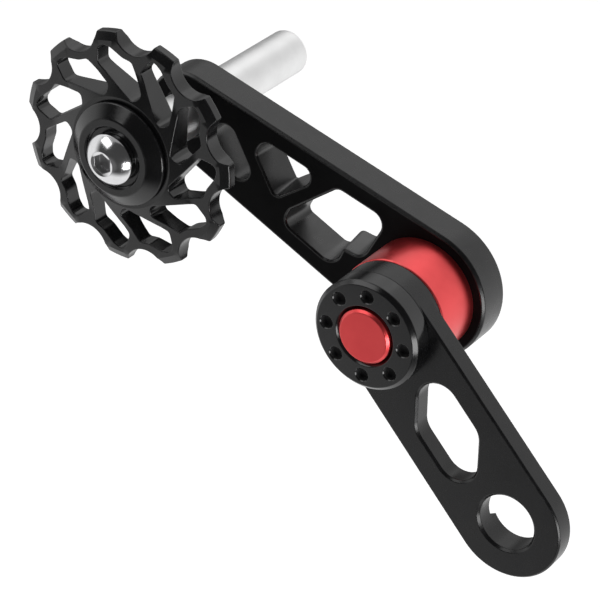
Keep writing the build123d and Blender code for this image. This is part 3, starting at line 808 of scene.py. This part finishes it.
def addWheelBand(shell, loop, step):
    # like addBand, but the rims follow the wheel's thickness at each point's own radius
    points, airs = walkLoop(loop, step, 1.0)
    edge, steps = wheel["edge"], wheel["edgeSteps"]
    turn = np.radians(np.linspace(0, 90, steps))
    rim = [edge + wheel["margin"], edge + wheel["rest"]]
    inset = np.concatenate([rim, edge * (1 - np.sin(turn)), [0.0]])
    drop = np.concatenate([[0.0, 0.0], edge * (1 - np.cos(turn)), [edge + wheel["drop"]]])
    flat = points[:, None] - airs[:, None] * inset[None, :, None]
    half = wheelHalf(np.linalg.norm(flat, axis=2)) - drop
    half[:, -2:] = wheelHalf(np.linalg.norm(points, axis=1))[:, None] - drop[-2:]
    both = np.concatenate([flat, flat[:, ::-1]], 1)
    depth = layout["pulleyPlane"] + np.concatenate([-half, half[:, ::-1]], 1)
    wear = np.concatenate([[0, 0], np.sin(np.linspace(0, np.pi, steps)), [0]])
    return addGrid(shell, upright(both + pulley, depth), np.concatenate([wear, wear[::-1]]))


def addCreases(shell, outlines, side):
    # rings of points where the wheel's faces change slope, kept clear of the rims, with their edges
    guides, edges, total = [], [], 0
    angles = np.radians(np.arange(0, 360, wheel["creaseStep"]))
    circles = (wheel["hub"], wheel["rimInner"], wheelTip - wheel["bevel"])
    for crease, radius in enumerate(circles, 1):
        spots = radius * rays(angles)
        clear = insideLoops(spots, outlines)
        for nudge in (-wheel["creaseClear"], wheel["creaseClear"]):
            clear &= insideLoops(spots * (1 + nudge / radius), outlines)
            clear &= insideLoops(radius * rays(angles + nudge / radius), outlines)
        kept = np.flatnonzero(clear)
        number = np.full(len(angles), -1)
        number[kept] = np.arange(len(kept)) + total
        pairs = np.stack([number, np.roll(number, -1)], 1)
        edges.append(pairs[(pairs >= 0).all(1)])
        depth = layout["pulleyPlane"] + side * wheelHalf(radius)
        guides.append(addPoints(shell, upright(spots[kept] + pulley, depth), 0, crease))
        total += len(kept)
    return np.concatenate(guides), np.concatenate(edges)


def buildWheel():
    shell = newShell()
    rings = [addWheelBand(shell, toothLoop(), 6)]
    window = windowLoop()
    for index in range(wheel["teeth"]):
        loop = placeLoop(window, origin, wheel["phase"] + index * toothPitch)
        rings.append(addWheelBand(shell, loop, 9))
    rings.append(addWheelBand(shell, circleLoop(origin, wheel["boreRadius"], -1), 4))
    verts = np.concatenate(shell["verts"])
    for column, side in ((0, -1), (-1, 1)):
        outlines = [verts[ids[:, column]][:, [0, 2]] - pulley for ids in rings]
        addFace(shell, [ids[:, column] for ids in rings], *addCreases(shell, outlines, side))
    makePiece("pulleyWheel", shell, "pulley", "black_anodised", [wheelFinish], "pulley_wheel")


buildWheel()


# Dust covers, bolt, washer, shaft and screws

cover = {
    "radius": 9.6, "rimReach": 2.9, "rim": 0.5, "faceReach": 5.1, "bevelWidth": 2.4,
    "boss": 5.1, "bossReach": 2.5, "frontBore": 2.65, "rearBore": 4.0,
    "recess": 5.5, "recessDepth": 0.7, "recessChamfer": 0.4,
}
bolt = {
    "seat": -9.8, "headRadius": 4.75, "headHeight": 2.5, "headEdge": 0.45, "flat": 2.3,
    "hex": 3.3, "hexDepth": 1.7, "sink": 0.2, "radius": 2.5, "length": 16.0,
    "threadStart": 4.0, "threadStop": 1.0, "threadStep": 0.2, "threadDepth": 0.18,
    "tipLength": 0.6, "tipChamfer": 0.7,
}
lockWasher = {
    "radius": 4.4, "bore": 2.65, "front": -9.8, "back": -8.6, "rimEase": 0.18, "boreEase": 0.1,
}
shaft = {
    "radius": 4.3, "journal": 3.98, "front": 0.9, "back": 45.6, "journalFront": -6.5,
    "thread": 2.52, "threadEnd": 6.3, "drillPoint": 0.6, "chamfer": 0.5,
}
barrelScrew = {
    "head": 6.0, "shank": 3.0, "length": 14.4, "hex": 4.0, "hexDepth": 2.0, "sink": 0.1,
    "flat": 5.5, "tipLength": 0.6, "tipChamfer": 0.5,
}
grubScrew = {
    "radius": 2.5, "below": 0.5, "shaftGap": 0.1, "hex": 2.5, "hexDepth": 1.6, "sink": 0.1,
    "flat": 2.15, "tipChamfer": 0.4,
}


def coverRows(side, inner, recessed):
    c = cover
    face = c["faceReach"]
    corners = [
        (inner, c["bossReach"] + 0.3, 0), (inner, c["bossReach"], 0.05),
        (c["boss"], c["bossReach"], 0.05), (c["boss"], c["rimReach"], 0.05),
        (c["radius"], c["rimReach"], 0.10), (c["radius"], c["rimReach"] + c["rim"], 0.2),
        (c["radius"] - c["bevelWidth"], face, 0.18),
    ]
    if recessed:
        floor = face - c["recessDepth"]
        corners += [
            (c["recess"] + c["recessChamfer"], face, 0.08),
            (c["recess"], face - c["recessChamfer"], 0.08),
            (c["recess"], floor, 0.06), (inner, floor, 0.05),
        ]
    else:
        corners += [(inner, face, 0.05)]
    plane = layout["pulleyPlane"]
    return [(radius, plane + side * reach, ease) for radius, reach, ease in corners + corners[:1]]


def shaftRows():
    s = shaft
    return [
        (0, s["threadEnd"] + s["drillPoint"], 0), (s["thread"], s["threadEnd"], 0.1),
        (s["thread"], s["journalFront"], 0.1), (s["journal"], s["journalFront"], 0.2),
        (s["journal"], s["front"], 0.05), (s["radius"], s["front"], 0.15),
        (s["radius"], s["back"] - s["chamfer"], 0.3), (s["radius"] - s["chamfer"], s["back"], 0.3),
        (0, s["back"], 0),
    ]


def buildScrew(name, spot, aim, sizes, rows, body, slot, finishes, node, count=96):
    # point = spot + aim * height + radius * (cos, sin) across the aim; rows are
    # (radius, height, hexShare), and the radius follows the hexagon where hexShare is 1
    shell = newShell()
    depth, sink, flat, half = sizes["hexDepth"], sizes["sink"], sizes["flat"], sizes["hex"] / 2
    rows = np.array([  # drill point, hexagon wall, then a countersink out to the flat's rim
        (0, -depth - 0.35, 0), (0, -depth, 0.97), (0, -depth + 0.05, 1), (0, -sink - 0.12, 1),
        (0, -sink - 0.06, 1), (0, -sink, 1.03), (0, -sink + 0.02, 1.06),
        (flat - 0.12, -0.05, 0), (flat - 0.04, -0.01, 0), (flat, 0.0, 0), *rows,
    ])
    aim = np.asarray(aim, float)
    level = abs(aim[1]) < 0.9
    across = np.cross(aim, [0.0, 1.0, 0.0]) if level else np.array([1.0, 0.0, 0.0])
    across /= np.linalg.norm(across)
    third = np.cross(aim, across)
    angles = np.linspace(0, 2 * np.pi, count, endpoint=False)
    fold = (np.degrees(angles) + 30) % 60 - 30
    hexagon = np.minimum(half / np.cos(np.radians(fold)), half * 1.13)  # corners slightly rounded
    inner = rows[1:-1]  # the first and last rows are poles
    share = inner[:, 2]
    radius = inner[:, 0] * (1 - share) + hexagon[:, None] * share
    ray = np.cos(angles)[:, None] * across + np.sin(angles)[:, None] * third
    grid = spot + aim * inner[None, :, 1, None] + ray[:, None] * radius[..., None]
    ids = addGrid(shell, grid, 0.0)
    # the hexagon walls and the drill point take a piece's second finish where it has one; on the
    # pulley bolt that is painted shade
    markColumns(shell, ids, (share[:-1] > 0.9) & (share[1:] > 0.9))
    for end, group in ((0, "second"), (-1, "tris")):
        addFan(shell, ids[:, end], spot + aim * rows[end, 1], group)
    makePiece(name, shell, body, slot, finishes, node)


def buildBolt():
    head, flat, shank = bolt["headRadius"], bolt["flat"], bolt["radius"]
    rise, low = bolt["headHeight"] - bolt["headEdge"], -bolt["headHeight"]
    # Dome: the cap of a ball whose middle lies `sunk` under the head's flat
    sunk = (head ** 2 + rise ** 2 - flat ** 2) / (2 * rise)
    ball = math.hypot(flat, sunk)
    swing = np.linspace(math.asin(flat / ball), math.asin(head / ball), 16)
    rows = [(ball * np.sin(t), ball * np.cos(t) - sunk, 0) for t in swing[1:-1]]
    rows += [
        (head - 0.06, -rise + 0.03, 0), (head, -rise - 0.06, 0), (head, low + 0.12, 0),
        (head - 0.03, low + 0.04, 0), (head - 0.12, low, 0), (head - 0.3, low, 0),
        (shank + 0.1, low, 0), (shank, low - 0.1, 0), (shank, low - 0.2, 0),
    ]
    # Thread turns as shallow rings along the shank, down to a chamfered end
    end = low - bolt["length"]
    turns = np.arange(low - bolt["threadStart"], end + bolt["threadStop"], -bolt["threadStep"])
    rows += [(shank - bolt["threadDepth"] * (index % 4 in (1, 2)), height, 0)
             for index, height in enumerate(turns)]
    rows += [(shank - 0.2, end + bolt["tipLength"], 0), (shank - bolt["tipChamfer"], end, 0),
             (0, end, 0)]
    spot = upright(pulley, bolt["seat"] - bolt["headHeight"])
    buildScrew("pulleyBolt", spot, (0, -1, 0), bolt, rows, "shaft", "bright_steel",
               [boltFinish, socketPaintedShadeFinish], "pulley_bolt")


def buildBarrelScrew():
    b = barrelScrew
    head, shank, end = b["head"], b["shank"], -b["length"]
    rows = [
        (head - 0.2, 0, 0), (head - 0.08, -0.03, 0), (head, -0.12, 0),
        (shank + 0.2, 0.2 - (head - shank), 0), (shank, -(head - shank), 0),
        (shank, end + b["tipLength"], 0), (shank - b["tipChamfer"], end, 0), (0, end, 0),
    ]
    buildScrew("barrelScrew", upright(pivot, arm["back"]), (0, 1, 0), b, rows, "arm", "dark_steel",
               [screwFinish], "barrel_screw")


def buildGrubScrew():
    g = grubScrew
    radius, rim = g["radius"], g["radius"] - g["flat"]
    head = arm["pulleyEnd"] - g["below"]
    end = shaft["radius"] + g["shaftGap"] - head
    rows = [
        (radius, -rim, 0), (radius, -rim - 0.1, 0), (radius, end + g["tipChamfer"], 0),
        (radius - g["tipChamfer"], end, 0), (0, end, 0),
    ]
    spot = upright(pulley + armDown * head, armMiddle)
    buildScrew("shaftGrubScrew", spot, upright(armDown, 0), g, rows, "arm", "dark_steel",
               [screwFinish], "shaft_grub_screw")


buildTurned("frontCover", pulley, coverRows(-1, cover["frontBore"], True), 160, "shaft",
            "black_anodised", coverFinish, "front_dust_cover")
buildTurned("rearCover", pulley, coverRows(1, cover["rearBore"], False), 160, "shaft",
            "black_anodised", coverFinish, "rear_dust_cover")
buildBolt()
buildTurned("lockWasher", pulley, washerRows(lockWasher), 128, "shaft", "bright_steel", boltFinish,
            "bolt_lock_washer")
buildTurned("pulleyShaft", pulley, shaftRows(), 128, "shaft", "ground_steel", shaftFinish,
            "pulley_shaft")
buildBarrelScrew()
buildGrubScrew()


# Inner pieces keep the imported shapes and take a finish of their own.

innerFinishes = {
    "pivot_bush": bushFinish, "rear_thrust_washer": plasticFinish, "torsion_spring": springFinish,
    "dowel_pins": bearingFinish, "bearing_inner_ring": bearingFinish,
    "bearing_outer_ring": bearingFinish, "bearing_balls": bearingFinish,
    "bearing_cage": plasticFinish, "bearing_seals": sealFinish,
}
for node, finish in innerFinishes.items():
    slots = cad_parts[node].data.materials
    slots.clear()
    slots.append(finish)
print("inner pieces finished")


# Stage, light and camera

view = {
    "eye": (0.1873, -0.3470, 0.2590), "lens": 163.4, "sensor": 36.0, "clip": (0.01, 20.0),
    "right": (0.83298, 0.55330, 0.0), "up": (-0.26783, 0.40321, 0.87504),
    "back": (0.48416, -0.72889, 0.48405),
}
stage = {
    "floorHeight": -0.16, "floorSize": 3.0, "floorColour": (0.85, 0.85, 0.85), "floorRough": 0.9,
    "floorGlow": 0.66, "middle": (-0.04, 0.005, 0.03),
}
fades = {  # aim, span of the cosine between a direction and the aim, levels at the span's two ends
    "sky": ((-0.48416, 0.72889, -0.48405), (-0.37, 0.13), (0.06, 1.0)),
    "flag": ((-0.68, 0.73, -0.06), (0.75, 0.95), (1.0, 0.25)),
    "card": ((0.0, -0.97, -0.24), (0.86, 0.97), (0.0, 0.15)),
}
lamps = {  # place, target, size and power
    "topBox": ((-0.12, 0.10, 0.70), (-0.03, 0.0, 0.03), (1.0, 0.8), 0.8),
    "upperBox": ((-0.31, -0.29, 0.46), (-0.05, 0.0, 0.04), (0.42, 0.22), 0.55),
    "rightBox": ((0.25, -0.16, -0.13), (-0.05, 0.0, 0.04), (0.22, 0.24), 1.1),
}


def addFade(tree, direction):
    # dark on the side the object is photographed from and pale behind it, with a grey flag behind
    # on the left, which gives round pieces a dark streak, and a dim card low in front
    found = []
    for aim, span, levels in fades.values():
        dot = addNode(tree, "VectorMath", {0: direction, 1: aim}, "Value", operation="DOT_PRODUCT")
        found.append(addRange(tree, dot, levels, span, interpolation_type="SMOOTHSTEP"))
    sky, flag, card = found
    return addMath(tree, "MAXIMUM", addMath(tree, "MULTIPLY", sky, flag), card)


def buildFloor():  # pale to the camera, with shadows; in reflections it carries on the sky's fade
    half, z = stage["floorSize"] / 2, stage["floorHeight"]
    corners = [(-half, -half, z), (half, -half, z), (half, half, z), (-half, half, z)]
    mesh = bpy.data.meshes.new("floor")
    mesh.from_pydata(corners, [], [(0, 1, 2, 3)])
    material, tree, shader, spot = startFinish("floorPale")
    setInputs(tree, shader, {
        "Base Color": (*stage["floorColour"], 1), "Roughness": stage["floorRough"],
        "Specular IOR Level": 0.0,
    })
    path = tree.nodes.new("ShaderNodeLightPath").outputs
    level = addMath(tree, "MULTIPLY", path["Is Camera Ray"], stage["floorGlow"])
    glow = addNode(tree, "Emission", {"Strength": level})
    seen = addNode(tree, "AddShader", {0: shader.outputs["BSDF"], 1: glow})
    away = addNode(tree, "VectorMath", {0: spot, 1: stage["middle"]}, operation="SUBTRACT")
    unit = addNode(tree, "VectorMath", {0: away}, operation="NORMALIZE")
    mirrored = addNode(tree, "Emission", {"Strength": addFade(tree, unit)})
    indirect = addMath(tree, "MAXIMUM", path["Is Glossy Ray"], path["Is Transmission Ray"])
    surface = addNode(tree, "MixShader", {0: indirect, 1: seen, 2: mirrored})
    tree.links.new(surface, tree.nodes["Material Output"].inputs["Surface"])
    mesh.materials.append(material)
    floor = addObject("floor", mesh)


def buildSky():
    world = bpy.data.worlds.new("studio")
    bpy.context.scene.world = world
    world.use_nodes = True
    tree = world.node_tree
    seen = addNode(tree, "LightPath", {}, "Is Camera Ray")
    fade = addFade(tree, addNode(tree, "TexCoord", {}, "Generated"))
    setInputs(tree, tree.nodes["Background"], {
        "Strength": addMath(tree, "MAXIMUM", seen, fade), "Color": (1, 1, 1, 1),
    })


def addLamp(name, spot, target, size, power):
    lamp = bpy.data.lights.new(name, "AREA")
    lamp.shape = "RECTANGLE"
    lamp.size, lamp.size_y = size
    lamp.energy = power
    holder = addObject(name, lamp)
    holder.location = spot
    holder.rotation_euler = (Vector(target) - Vector(spot)).to_track_quat("-Z", "Y").to_euler()
    holder.visible_camera = False


def buildCamera():
    lens = bpy.data.cameras.new("view")
    lens.lens = view["lens"]
    lens.sensor_width = view["sensor"]
    lens.clip_start, lens.clip_end = view["clip"]
    holder = addObject("view", lens)
    axes = Matrix((view["right"], view["up"], view["back"])).transposed()
    holder.matrix_world = Matrix.Translation(view["eye"]) @ axes.to_4x4()
    bpy.context.scene.camera = holder


buildFloor()
buildSky()
for name, settings in lamps.items():
    addLamp(name, *settings)
buildCamera()
bpy.context.scene.view_settings.view_transform = "Standard"
print("stage ready")
